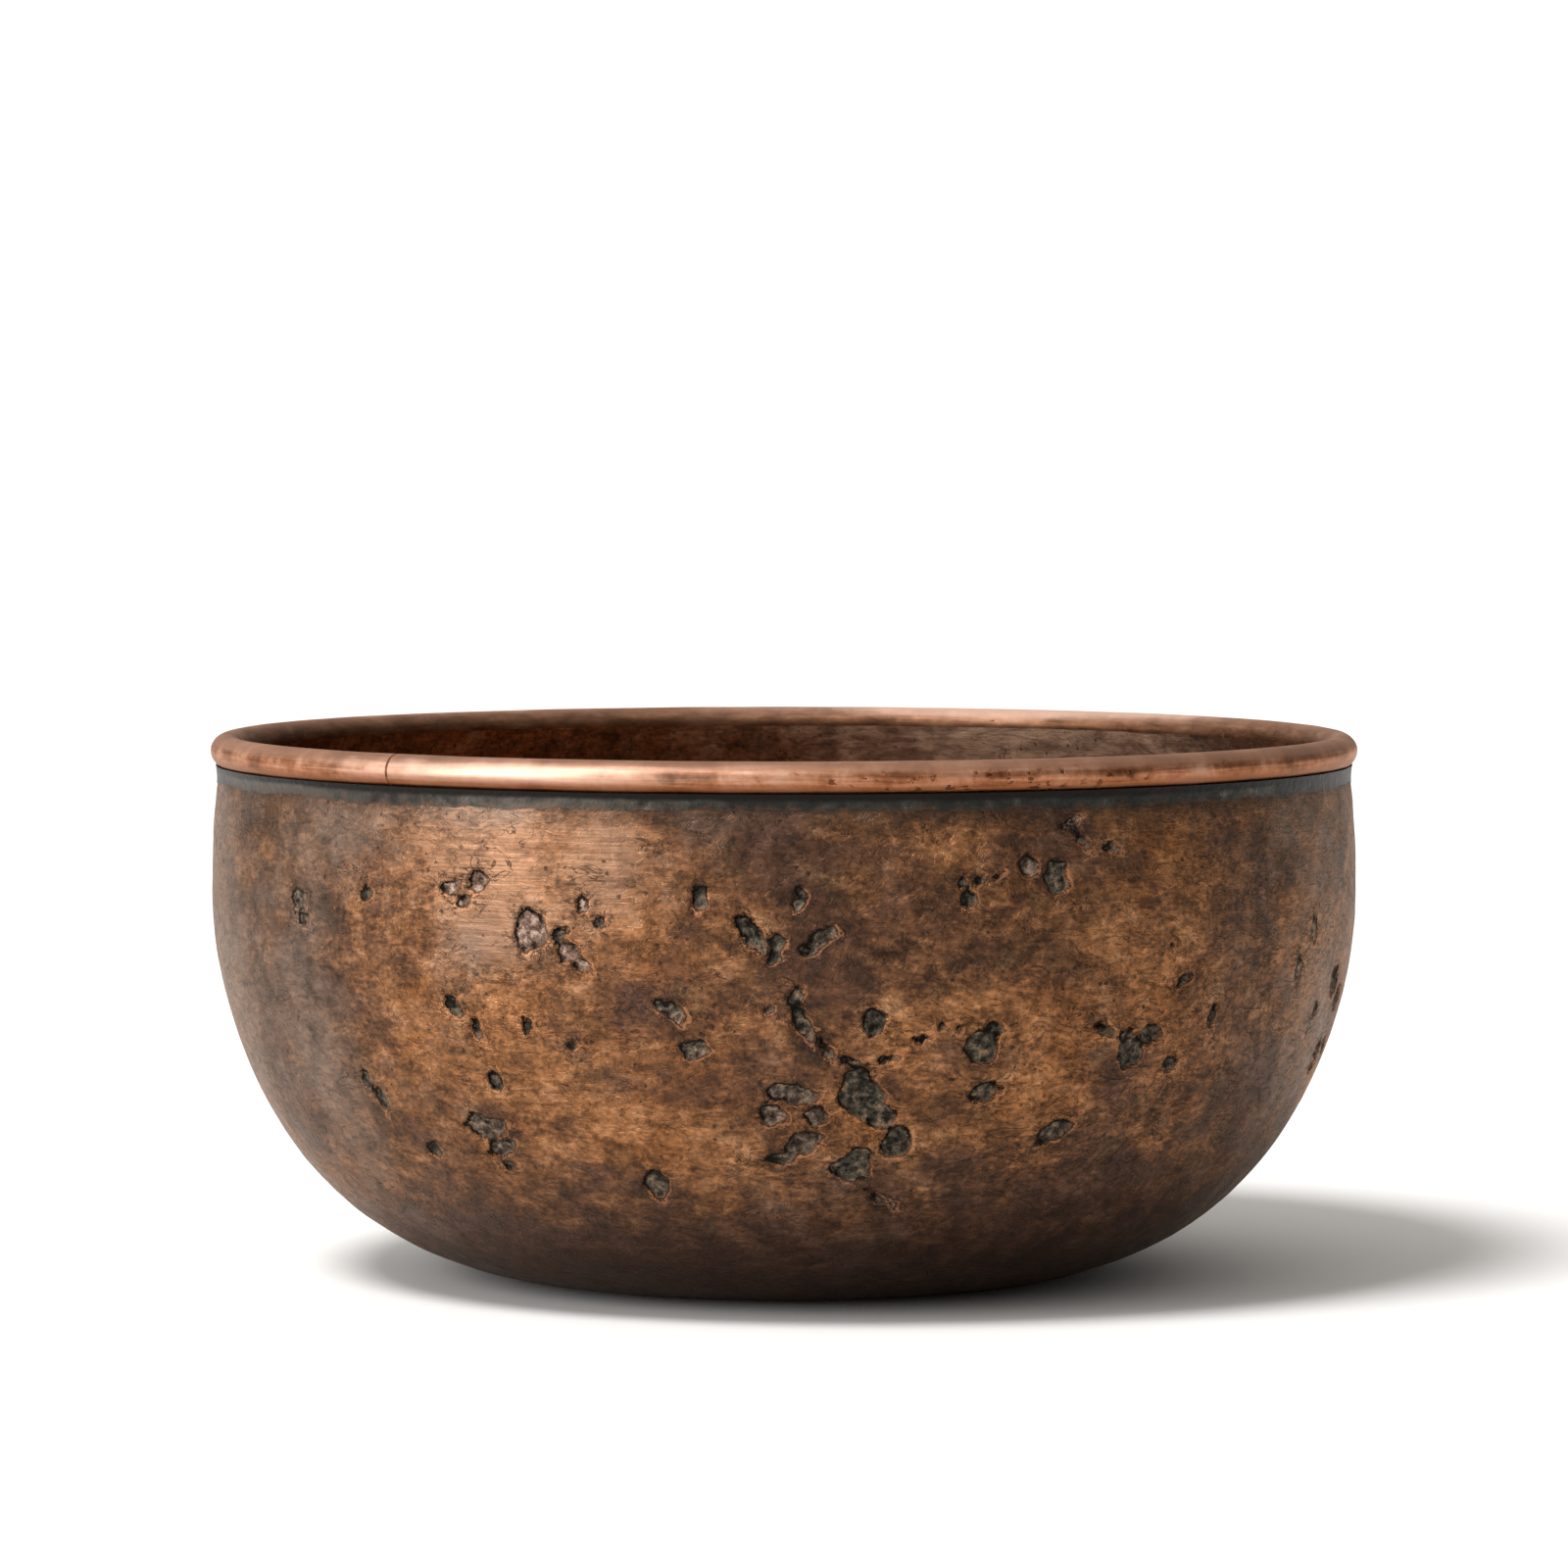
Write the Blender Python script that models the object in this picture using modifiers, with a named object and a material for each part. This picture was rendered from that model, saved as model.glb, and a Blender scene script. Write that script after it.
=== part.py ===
"""Hammered copper bowl with a wired rim, modelled as seven separate pieces.

Metres, +Z up. The bowl stands on its flat base: the origin is the centre of that base and
+Z is the axis of revolution. -Y is the front.

The shell is one raised copper sheet. Its lip stands in the slot of a copper sleeve, which is
bent round a core wire and closed with a brazed butt joint. A run of solder under the sleeve
holds it on the shell outside. Inside, a tapered copper band fills the corner under the sleeve,
so that the wall runs smoothly up into the rim, and a run of solder seals its lower edge.
"""
import math

import bpy

# Driving dimensions
RIM_DIAMETER = 0.254
HEIGHT = 0.120
SHEET = 0.0013
GAP = 0.0003

# Outer profile of the shell: a flat base, then arcs that run on from one another.
# The turn is the angle of the wall from level, 90 degrees at the widest point.
BASE_FLAT_RADIUS = 0.0513
BELLY_RADIUS = 0.0710
BELLY_TURN = math.radians(58)
WALL_RADIUS = 0.1005
LIP_RADIUS = 0.2180

# Rim
BEAD_DIAMETER = 0.0072
SLEEVE_WALL = 0.0012
WIRE_DIAMETER = 0.0040
BUTT_JOINT_GAP = 0.0012
BUTT_JOINT_AZIMUTH = math.radians(-131)
WIRE_GAP = 0.0006
WIRE_GAP_AZIMUTH = math.radians(49)

# Band inside the lip, and solder runs
BAND_LOW_Z = 0.1012
BAND_EDGE = 0.0006
OUTER_SOLDER_DROP = 0.0034
OUTER_SOLDER_REACH = 0.0006
BAND_SOLDER_DROP = 0.0018
SOLDER_EDGE = 0.0003

# Facets
TURN_STEPS = 64
BELLY_STEPS = 9
WALL_STEPS = 5
LIP_STEPS = 4
SLEEVE_STEPS = 14
SOLDER_STEPS = 3
BAND_STEPS = 6
WIRE_BEVEL_STEPS = 2
SHARP_ANGLE = math.radians(40)
MERGE = 0.00001

BEAD_RADIUS = BEAD_DIAMETER / 2
BORE_RADIUS = BEAD_RADIUS - SLEEVE_WALL
BEAD_CENTRE_R = RIM_DIAMETER / 2 - BEAD_RADIUS
BEAD_CENTRE_Z = HEIGHT - BEAD_RADIUS

COPPER_PATINA = ("copper_patina", (0.20, 0.085, 0.045, 1), 0.42, 0.95)
COPPER_BRIGHT = ("copper_bright", (0.62, 0.30, 0.19, 1), 0.28, 1.0)
WIRE_STEEL = ("core_wire", (0.30, 0.29, 0.28, 1), 0.50, 1.0)
BRAZE = ("braze", (0.20, 0.13, 0.08, 1), 0.50, 0.9)
SOLDER = ("solder", (0.16, 0.17, 0.17, 1), 0.45, 0.9)


def clear_scene():
    for obj in list(bpy.data.objects):
        bpy.data.objects.remove(obj, do_unlink=True)


def collection(name):
    group = bpy.data.collections.new(name)
    bpy.context.scene.collection.children.link(group)
    return group


def material(name, colour, roughness, metallic):
    mat = bpy.data.materials.get(name)
    if mat:
        return mat
    mat = bpy.data.materials.new(name)
    mat.use_nodes = True
    shader = mat.node_tree.nodes["Principled BSDF"]
    shader.inputs["Base Color"].default_value = colour
    shader.inputs["Roughness"].default_value = roughness
    shader.inputs["Metallic"].default_value = metallic
    return mat


def turned(name, profile, closed, group):
    """Turn a list of (radius, height) points about Z. It runs down the outer side."""
    points = [(r, 0, z) for r, z in profile]
    edges = [(i, i + 1) for i in range(len(points) - 1)]
    if closed:
        edges.append((len(points) - 1, 0))
    mesh = bpy.data.meshes.new(name)
    mesh.from_pydata(points, edges, [])
    obj = bpy.data.objects.new(name, mesh)
    group.objects.link(obj)
    screw = obj.modifiers.new("turn", "SCREW")
    screw.steps = TURN_STEPS
    screw.render_steps = TURN_STEPS
    screw.use_merge_vertices = True
    screw.merge_threshold = MERGE
    return obj


def cutting_slab(name, width, azimuth, group):
    """A thin upright slab across the bead, for a cut in the ring at an azimuth."""
    reach = 3 * BEAD_DIAMETER
    place = (BEAD_CENTRE_R * math.cos(azimuth), BEAD_CENTRE_R * math.sin(azimuth), BEAD_CENTRE_Z)
    bpy.ops.mesh.primitive_cube_add(size=1, location=place, rotation=(0, 0, azimuth))
    slab = bpy.context.object
    slab.name = name
    slab.data.transform(((reach, 0, 0, 0), (0, width, 0, 0), (0, 0, reach, 0), (0, 0, 0, 1)))
    for old in list(slab.users_collection):
        old.objects.unlink(slab)
    group.objects.link(slab)
    slab.hide_render = True
    slab.display_type = "WIRE"
    return slab


def boolean(obj, cutter, operation):
    step = obj.modifiers.new(operation.lower(), "BOOLEAN")
    step.solver = "EXACT"
    step.operation = operation
    step.object = cutter


def settle(obj, look):
    """Apply the modifiers or the curve's bevel, shade it smooth and give it its material."""
    depsgraph = bpy.context.evaluated_depsgraph_get()
    mesh = bpy.data.meshes.new_from_object(obj.evaluated_get(depsgraph))
    mesh.name = obj.name
    mesh.shade_smooth()
    mesh.set_sharp_from_angle(angle=SHARP_ANGLE)
    mesh.materials.clear()
    mesh.materials.append(material(*look))
    obj.modifiers.clear()
    obj.data = mesh


def arc_points(start, radius, turn_from, turn_to, steps):
    """Points that follow start along an arc whose angle from level goes from one turn to the other."""
    r0, z0 = start
    points = []
    for i in range(1, steps + 1):
        turn = turn_from + (turn_to - turn_from) * i / steps
        points.append((r0 + radius * (math.sin(turn) - math.sin(turn_from)),
                       z0 + radius * (math.cos(turn_from) - math.cos(turn))))
    return points


def widest_point():
    belly_end = arc_points((BASE_FLAT_RADIUS, 0), BELLY_RADIUS, 0, BELLY_TURN, 1)[-1]
    return arc_points(belly_end, WALL_RADIUS, BELLY_TURN, math.pi / 2, 1)[-1]


def lip_turn(height):
    """The wall's angle from level where it leans in to reach a height above the widest point."""
    return math.pi / 2 + math.asin((height - widest_point()[1]) / LIP_RADIUS)


def shell_radius(height):
    """Outer radius of the leaning stretch between the widest point and the rim."""
    return widest_point()[0] + LIP_RADIUS * (math.sin(lip_turn(height)) - 1)


LIP_TOP_Z = BEAD_CENTRE_Z - BORE_RADIUS + 0.00005
LIP_LEAN = lip_turn(LIP_TOP_Z) - math.pi / 2


def shell_profile():
    """From the middle of the base out and up to the top of the lip."""
    points = [(0, 0), (BASE_FLAT_RADIUS, 0)]
    points += arc_points(points[-1], BELLY_RADIUS, 0, BELLY_TURN, BELLY_STEPS)
    points += arc_points(points[-1], WALL_RADIUS, BELLY_TURN, math.pi / 2, WALL_STEPS)
    points += arc_points(points[-1], LIP_RADIUS, math.pi / 2, lip_turn(LIP_TOP_Z), LIP_STEPS)
    return points


def bead_point(radius, angle):
    """A point round the bead's centre, at an angle from the way the lip comes in, outwards."""
    way = LIP_LEAN + angle
    return BEAD_CENTRE_R + radius * math.sin(way), BEAD_CENTRE_Z - radius * math.cos(way)


def slot_sides():
    """How far the slot's two sides lie from the bead's centre, across the lip."""
    across_r = shell_radius(LIP_TOP_Z) - BEAD_CENTRE_R
    across_z = LIP_TOP_Z - BEAD_CENTRE_Z
    outer_face = across_r * math.cos(LIP_LEAN) + across_z * math.sin(LIP_LEAN)
    return outer_face - SHEET - GAP, outer_face + GAP


def sleeve_profile():
    """The strip's C section: round the outside from the slot, and back round the bore."""
    inner_side, outer_side = slot_sides()
    full = 2 * math.pi
    points = []
    for radius, backwards in ((BEAD_RADIUS, False), (BORE_RADIUS, True)):
        start = math.asin(inner_side / radius)
        end = math.asin(outer_side / radius)
        sweep = full - (end - start)
        arc = [bead_point(radius, start - sweep * i / SLEEVE_STEPS) for i in range(SLEEVE_STEPS + 1)]
        points += arc[::-1] if backwards else arc
    return points


def bead_face(r):
    """Height of the bead's underside, with the gap, at a radius from the bowl's axis."""
    return BEAD_CENTRE_Z - math.sqrt((BEAD_RADIUS + GAP) ** 2 - (r - BEAD_CENTRE_R) ** 2)


def inner_wall(z):
    """Radius of the shell's inner face, less the gap, near the rim."""
    return shell_radius(z) - SHEET - GAP


def outer_solder_profile():
    """A run of solder in the corner under the bead, on the lip's outer face."""
    corner_z = BEAD_CENTRE_Z - BEAD_RADIUS
    low_z = corner_z - OUTER_SOLDER_DROP
    face_top = shell_radius(corner_z) + GAP
    face_low = shell_radius(low_z) + GAP
    points = []
    for i in range(SOLDER_STEPS + 1):
        r = face_top + OUTER_SOLDER_REACH * i / SOLDER_STEPS
        points.append((r, bead_face(r)))
    points.append((face_low + SOLDER_EDGE, low_z))
    points.append((face_low, low_z))
    return points


def band_profile():
    """The band inside the lip: under the bead, down the wall, and up an S curve to the bead."""
    top_r = BEAD_CENTRE_R - BEAD_RADIUS
    wall_r = inner_wall(BEAD_CENTRE_Z - BEAD_RADIUS - GAP)
    under = []
    for i in range(SOLDER_STEPS + 1):
        r = top_r + (wall_r - top_r) * i / SOLDER_STEPS
        under.append((r, bead_face(r)))
    top_z = under[0][1]
    wall = []
    face = []
    for i in range(1, BAND_STEPS + 1):
        part = i / BAND_STEPS
        wall_z = under[-1][1] + (BAND_LOW_Z - under[-1][1]) * part
        wall.append((inner_wall(wall_z), wall_z))
        face_z = top_z + (BAND_LOW_Z - top_z) * part
        taper = (1 + math.cos(math.pi * part)) / 2
        edge_r = inner_wall(face_z) - BAND_EDGE
        face.append((edge_r + (top_r - edge_r) * taper, face_z))
    return under + wall + face[::-1]


def band_solder_profile():
    """A run of solder on the wall, along the band's lower edge."""
    top_z = BAND_LOW_Z - GAP
    low_z = top_z - BAND_SOLDER_DROP
    return [(inner_wall(top_z) - BAND_EDGE, top_z), (inner_wall(top_z), top_z),
            (inner_wall(low_z), low_z), (inner_wall(low_z) - SOLDER_EDGE, low_z)]


def make_shell(group):
    shell = turned("bowl_shell", shell_profile()[::-1], False, group)
    wall = shell.modifiers.new("sheet", "SOLIDIFY")
    wall.thickness = SHEET
    wall.offset = -1
    wall.use_even_offset = True
    settle(shell, COPPER_PATINA)


def make_sleeve(group, cutters):
    sleeve = turned("rim_sleeve", sleeve_profile(), True, group)
    slab = cutting_slab("butt_joint_cutter", BUTT_JOINT_GAP, BUTT_JOINT_AZIMUTH, cutters)
    boolean(sleeve, slab, "DIFFERENCE")
    settle(sleeve, COPPER_BRIGHT)


def make_braze(group, cutters):
    braze = turned("rim_joint_braze", sleeve_profile(), True, group)
    slab = cutting_slab("braze_limit", BUTT_JOINT_GAP - 2 * GAP, BUTT_JOINT_AZIMUTH, cutters)
    boolean(braze, slab, "INTERSECT")
    settle(braze, BRAZE)


def make_wire(group):
    """The core wire: a ring of wire, cut to length, whose ends nearly meet."""
    half_gap = WIRE_GAP / 2 / BEAD_CENTRE_R
    step = 2 * math.pi / TURN_STEPS
    first = WIRE_GAP_AZIMUTH + half_gap
    last = WIRE_GAP_AZIMUTH + 2 * math.pi - half_gap
    angles = [first]
    angles += [i * step for i in range(math.ceil(first / step), math.floor(last / step) + 1)]
    angles.append(last)
    data = bpy.data.curves.new("rim_core_wire", "CURVE")
    data.dimensions = "3D"
    data.bevel_depth = WIRE_DIAMETER / 2
    data.bevel_resolution = WIRE_BEVEL_STEPS
    data.use_fill_caps = True
    spline = data.splines.new("POLY")
    spline.points.add(len(angles) - 1)
    for point, angle in zip(spline.points, angles):
        point.co = (BEAD_CENTRE_R * math.cos(angle), BEAD_CENTRE_R * math.sin(angle), BEAD_CENTRE_Z, 1)
    wire = bpy.data.objects.new("rim_core_wire", data)
    wire.data.materials.append(material(*WIRE_STEEL))
    group.objects.link(wire)


def make_band(group):
    settle(turned("inner_lip_band", band_profile(), True, group), COPPER_PATINA)


def make_solder(group):
    settle(turned("outer_solder_seam", outer_solder_profile(), True, group), SOLDER)
    settle(turned("band_solder_seam", band_solder_profile(), True, group), SOLDER)


def main():
    clear_scene()
    bowl = collection("hammered_copper_bowl")
    cutters = collection("cutters")
    make_shell(bowl)
    make_sleeve(bowl, cutters)
    make_braze(bowl, cutters)
    make_wire(bowl)
    make_band(bowl)
    make_solder(bowl)


main()
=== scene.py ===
"""Looks of the hammered copper bowl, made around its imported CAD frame.

Metres, +Z up. The front, which the camera sees, is -Y. A place on the bowl is given by its
azimuth, in degrees from the front and positive to the right, and by its height in mm.
"""
import random
from collections import namedtuple
from math import asin, atan2, cos, degrees, exp, pi, radians, sin

import bpy
import numpy as np
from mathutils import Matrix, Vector, noise


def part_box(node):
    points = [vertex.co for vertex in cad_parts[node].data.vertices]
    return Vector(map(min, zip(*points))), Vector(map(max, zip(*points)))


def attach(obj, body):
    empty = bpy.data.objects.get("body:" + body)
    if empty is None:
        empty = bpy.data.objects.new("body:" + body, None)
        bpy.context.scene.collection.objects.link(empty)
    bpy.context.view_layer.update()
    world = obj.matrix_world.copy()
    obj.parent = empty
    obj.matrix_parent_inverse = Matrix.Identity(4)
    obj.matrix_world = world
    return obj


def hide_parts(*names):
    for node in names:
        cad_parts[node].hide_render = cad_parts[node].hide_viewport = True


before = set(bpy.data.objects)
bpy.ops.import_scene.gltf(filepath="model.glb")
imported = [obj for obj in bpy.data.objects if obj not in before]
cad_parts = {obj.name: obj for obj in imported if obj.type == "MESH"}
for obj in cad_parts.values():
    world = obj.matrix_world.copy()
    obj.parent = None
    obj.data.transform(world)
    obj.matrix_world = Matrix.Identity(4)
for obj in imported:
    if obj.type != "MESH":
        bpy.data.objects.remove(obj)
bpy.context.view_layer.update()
scene = bpy.context.scene
MM = 0.001

# Places from the frame
rim_low, rim_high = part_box("rim_sleeve")
RIM_RADIUS = rim_high.x
BEAD_RADIUS = (rim_high.z - rim_low.z) / 2
BEAD_CENTRE_R = RIM_RADIUS - BEAD_RADIUS
BEAD_CENTRE_Z = rim_high.z - BEAD_RADIUS
LIP_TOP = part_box("bowl_shell")[1].z
BAND_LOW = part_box("inner_lip_band")[0].z

# The CAD shell's outline: a flat base, then arcs that run on from one another
SHEET = 1.3 * MM
BASE_FLAT_RADIUS = 51.3 * MM
BELLY_RADIUS = 71 * MM
BELLY_TURN = radians(58)
WALL_RADIUS = 100.5 * MM
LIP_RADIUS = 218 * MM
BUTT_JOINT_AZIMUTH = -41

# Mesh density of the shell: columns are closer together at the front
OUTER_COLUMNS = 660
INNER_SHARE = 3
FRONT_CROWDING = 0.35
BASE_ROWS = 6
OUTER_ROWS = 120
INNER_ROWS = 44

# Distance in mm to a mark's edge where there is none near
FAR = 9.0
# Edges of the rim and solder meshes that turn by more than this are sharp
SHARP_ANGLE = radians(50)


# ---------------- shell outline

def arc(start, radius, turn_from, turn_to, steps=200):
    """Points on an arc from start, whose angle from level goes from one turn to the other."""
    turn = np.linspace(turn_from, turn_to, steps + 1)[1:]
    r = start[0] + radius * (np.sin(turn) - sin(turn_from))
    z = start[1] + radius * (cos(turn_from) - np.cos(turn))
    return list(zip(r, z, turn))


def outline():
    """The outer profile as rows of (radius, height, angle from level), base to lip."""
    points = [(0.0, 0.0, 0.0), (BASE_FLAT_RADIUS, 0.0, 0.0)]
    points += arc(points[-1], BELLY_RADIUS, 0, BELLY_TURN)
    points += arc(points[-1], WALL_RADIUS, BELLY_TURN, pi / 2)
    lip_turn = pi / 2 + asin((LIP_TOP - points[-1][1]) / LIP_RADIUS)
    points += arc(points[-1], LIP_RADIUS, pi / 2, lip_turn)
    return np.array(points)


OUTLINE = outline()
OUTLINE_LENGTH = np.concatenate([[0], np.cumsum(np.hypot(*np.diff(OUTLINE[:, :2], axis=0).T))])
LIP_OUT = OUTLINE[-1, 0]
LIP_LEAN = OUTLINE[-1, 2] - pi / 2


def along_outline(length):
    """(radius, height, angle from level) at a length along the outline from its middle."""
    return [np.interp(length, OUTLINE_LENGTH, OUTLINE[:, i]) for i in range(3)]


def length_at_height(height):
    return np.interp(height, OUTLINE[1:, 1], OUTLINE_LENGTH[1:])


def wall_radius(height):
    return np.interp(height, OUTLINE[1:, 1], OUTLINE[1:, 0])


# ---------------- noise on points

DIMPLE_REACH = 0.62


def smooth_noise(points, size, shift=0.0):
    """Perlin noise from -1 to 1 at each point, with features of about size metres."""
    return np.array([noise.noise(Vector(p) / size + Vector((shift, shift, shift))) for p in points])


def hammer_cells(points, size):
    """Depth from 0 to 1 of round hammer dimples of about size metres that meet in ridges."""
    near = np.array([noise.voronoi(Vector(p) / size)[0][0] for p in points])
    return 1 - np.minimum(1, (near / DIMPLE_REACH) ** 2)


def smoothstep(low, high, value):
    t = np.clip((value - low) / (high - low), 0, 1)
    return t * t * (3 - 2 * t)


# ---------------- marks and patches

# Kinds of mark, told apart by how pale the floor is
PIT, SHALLOW, SCAR = 0.0, 0.3, 1.0
Mark = namedtuple("Mark", "azimuth height width tall tilt depth kind")

# Marks at the front by kind: azimuth, height, width, length up the wall, tilt in degrees, depth
FRONT_MARKS = {PIT: (
    (-21.4, 84, 4.6, 3.2, 20, 0.7), (-17.5, 86.6, 3.2, 3, 0, 0.5), (-43.8, 90.5, 3.4, 3.6, 0, 0.4),
    (-8, 91.6, 4, 5.8, 15, 0.8), (-3.2, 85.4, 9.6, 5, -45, 0.9), (-0.8, 82.8, 4.2, 4, 0, 0.8),
    (-1.1, 79.6, 3.4, 3, 0, 0.6), (1.2, 91, 3.6, 3.4, 0, 0.5), (1.4, 93.4, 2, 1.8, 0, 0.7),
    (3.5, 84.2, 6.4, 3, 25, 0.8), (2.2, 81.2, 5.2, 3, 10, 0.8), (17.5, 91.7, 4, 3.8, 20, 0.8),
    (16.8, 95.4, 2, 1.8, 0, 0.6), (18.5, 95.4, 3.4, 1.6, 30, 0.6), (20.2, 95.8, 3.4, 1.2, 20, 0.5),
    (26.4, 95.8, 7.4, 7.6, 0, 0.8), (29.2, 103.4, 6.4, 1.8, -50, 0.5), (32.4, 101.2, 5, 1.8, -20, 0.5),
    (-33.6, 67.8, 5.6, 3.4, -38, 0.8), (-31.2, 63.6, 2.2, 5, 12, 0.8), (-25.4, 64.4, 3.4, 3.4, 0, 0.7),
    (-20.8, 60.6, 3.2, 1.6, 15, 0.6), (-30, 52.2, 3.8, 4.6, 15, 0.8), (-31, 33.6, 4.4, 3, 0, 0.5),
    (-40.8, 36, 4.6, 4.6, 0, 0.7), (-14, 30.6, 5.6, 8.4, 0, 0.8), (-47.5, 50.6, 2.8, 5.4, 10, 0.4),
    (-46, 46.5, 3.4, 6, 20, 0.4), (-12, 70, 2.2, 2.2, 0, 0.5), (1, 72, 3.6, 3.2, 0, 0.6),
    (1.6, 66.8, 3, 9.4, 28, 0.8), (-1.6, 69.2, 2.8, 1.6, 0, 0.6), (8.6, 66, 5.6, 5.6, 0, 0.8),
    (3.9, 61, 8.4, 2, -48, 0.6), (6.4, 57.8, 7, 2, -14, 0.6), (9.8, 58.3, 6, 1.5, 10, 0.6),
    (-0.4, 37, 7.4, 3, 8, 0.5), (7.6, 50.4, 10.4, 12, 20, 0.9), (9.6, 45.6, 8.6, 6.4, -20, 0.8),
    (11.6, 40.2, 5.8, 8.6, -10, 0.7), (7.4, 35.4, 10.4, 9, 10, 0.8), (10.6, 27.8, 9.4, 1.9, -38, 0.8),
    (19.4, 60.4, 7, 7, 0, 0.8), (20.6, 64.2, 4.4, 3, 0, 0.6), (20.2, 50.6, 7.4, 4.6, 10, 0.8),
    (15.2, 65.2, 1.8, 1.8, 0, 0.6), (17, 64.6, 2.2, 2, 0, 0.6), (13.2, 62.4, 5.4, 1.4, 15, 0.5),
    (32.4, 63.4, 9, 1.8, -22, 0.8), (35.2, 61.8, 5.4, 1.8, 0, 0.8), (36.2, 58, 7, 7.6, 0, 0.8),
    (38.6, 61.5, 6.6, 4.4, 18, 0.8), (41.8, 54.8, 4.6, 3.8, 0, 0.5), (42, 72.4, 4.6, 2.6, 20, 0.6),
    (40, 79.6, 1.8, 1.6, 0, 0.5),
), SHALLOW: (
    (-53.5, 84, 5.4, 3.4, 0, 0.3), (-54.5, 88, 7, 5, 0, 0.2), (23.5, 97.8, 5, 5, 0, 0.7),
    (-32.4, 42, 10.4, 7.6, 0, 0.7), (-31.2, 37.6, 7, 4.4, 25, 0.5), (-10.6, 68.4, 8, 3, -35, 0.4),
    (-8.8, 60.6, 6, 4, 0, 0.5), (0.6, 50.9, 11.4, 5.6, -10, 0.7), (-1.2, 46.6, 6.4, 5, -30, 0.6),
    (3.2, 46.2, 4.6, 5, 20, 0.6), (2, 40.2, 7.4, 7, -20, 0.7), (29.1, 41, 8.8, 5.2, 38, 0.7),
    (46.8, 64, 2, 8, 0, 0.4), (61.4, 71.4, 3.8, 7, 0, 0.4), (64.5, 80.5, 4, 6, 10, 0.3),
    (68, 62, 3.4, 5, 0, 0.3),
), SCAR: (
    (-33.4, 92.8, 5.4, 3.2, 15, 0.5), (-30.2, 94.6, 5.6, 4.8, 0, 0.7), (-31.8, 90.2, 4.6, 2.8, -10, 0.5),
    (-24.5, 84.5, 8.4, 8.2, 0, 0.8), (-20.8, 80.4, 6.2, 4.6, -20, 0.7), (-19.4, 77.6, 4.6, 2.8, -40, 0.6),
    (-19.2, 90.4, 3.2, 3.4, 0, 0.5), (28, 106.8, 6, 1.6, 20, 0.4),
)}

# Where the bare copper shows through at the front, and where the patina is darkest:
# azimuth, height, half width, half length up the wall, amount (bare above 0, dark below)
FRONT_PATCHES = (
    (-27, 58, 15, 13, 0.6), (-38, 62, 7, 14, 0.5), (-28, 67, 6, 5, 0.3), (-25, 50, 5, 5, -0.3),
    (-27, 42, 5, 5, 0.3), (-24, 34, 5, 4, -0.3), (-6, 43, 5, 5, -0.25), (-15, 40, 17, 9, 0.65),
    (-43, 54, 6, 8, 0.4), (41, 60, 5, 6, 0.3), (30, 46, 6, 5, 0.25), (12, 61, 6, 7, 0.8),
    (14, 49, 5, 8, 0.45), (6, 50, 5, 5, 0.25), (24, 50, 10, 9, 0.75), (25, 66, 8, 8, 0.3),
    (37, 78, 12, 12, 0.45), (27, 86, 7, 7, 0.45), (40, 98, 8, 9, 0.75), (30, 98, 4, 6, -0.35),
    (42, 61, 5, 10, 0.35), (48, 72, 4, 8, -0.25), (-14, 84, 7, 10, 0.45), (-12, 94, 4, 7, -0.3),
    (-30, 81, 5, 5, -0.4), (-26, 99, 16, 10, 0.5), (-18, 104, 6, 10, 0.35), (17, 101, 7, 4, 0.35),
    (-6, 78, 5, 7, 0.1), (-6, 27, 14, 5, 0.15), (-1, 105, 13, 9, -0.85), (-6, 74, 6, 5, -0.35),
    (37, 30, 8, 9, -0.55), (3, 90, 10, 9, -0.55), (4, 77, 10, 7, -0.45), (-8, 108, 10, 6, -0.3),
    (18, 86, 10, 8, -0.2), (12, 82, 5, 5, -0.3), (-14, 70, 8, 5, -0.4), (0, 58, 7, 5, -0.3),
    (2, 33, 9, 7, -0.25), (26, 103, 8, 8, -0.35), (52, 90, 12, 16, -0.35), (52, 58, 10, 14, -0.45),
    (36, 42, 8, 8, -0.3), (29, 63, 6, 8, 0.55), (18, 68, 6, 6, 0.5), (7, 74, 7, 6, -0.55),
    (0, 97, 8, 6, -0.35), (8, 43, 8, 6, 0.5), (-33, 34, 8, 6, 0.3), (50, 14, 30, 12, -0.45),
    (14, 35, 10, 7, -0.2), (30, 26, 26, 9, -0.35), (56, 40, 14, 20, -0.35), (-52, 70, 12, 44, -0.35),
    (-66, 70, 14, 50, -0.45), (-38, 99, 7, 9, 0.1), (-36, 30, 14, 10, -0.05), (0, 14, 90, 9, -0.35),
)
# The same inside, and where the inside is rubbed bright; at the back right these are partly a painted
# highlight where the light from the left falls on the inner wall
INNER_PATCHES = ((140, 90, 70, 45, 0.4), (180, 100, 70, 12, 0.15), (232, 90, 60, 40, -0.35))
INNER_BRUSHED_AND_HIGHLIGHT = ((146, 96, 60, 26), (124, 74, 40, 30))
# Where a dull pale film lies on the patina, and at the far left and right edges of the front a painted sheen
# that stands in for the grazing reflection of the white surroundings: azimuth, height, half width, half
# length, amount
FRONT_DUST_AND_SHEEN = ((-54, 64, 16, 55, 0.7), (-78, 62, 32, 55, 1.2), (68, 70, 18, 60, 0.7), (-32, 80, 9, 7, 0.35),
              (-46, 103, 16, 10, 0.7), (-28, 109, 22, 5, 0.8), (56, 104, 12, 8, 0.4))
# Inside, the film at the back right is partly a painted highlight where the light from the left falls
INNER_DUST_AND_HIGHLIGHT = ((148, 92, 50, 40, 0.7),)
# Where the copper is brushed bright, partly a painted highlight that stands in for the side softbox's
# reflection: azimuth, height, half width, half length up the wall
BRUSHED_AND_HIGHLIGHT = ((-28, 99, 22, 12), (-17, 98, 7, 13), (-28, 83, 12, 7))

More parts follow.
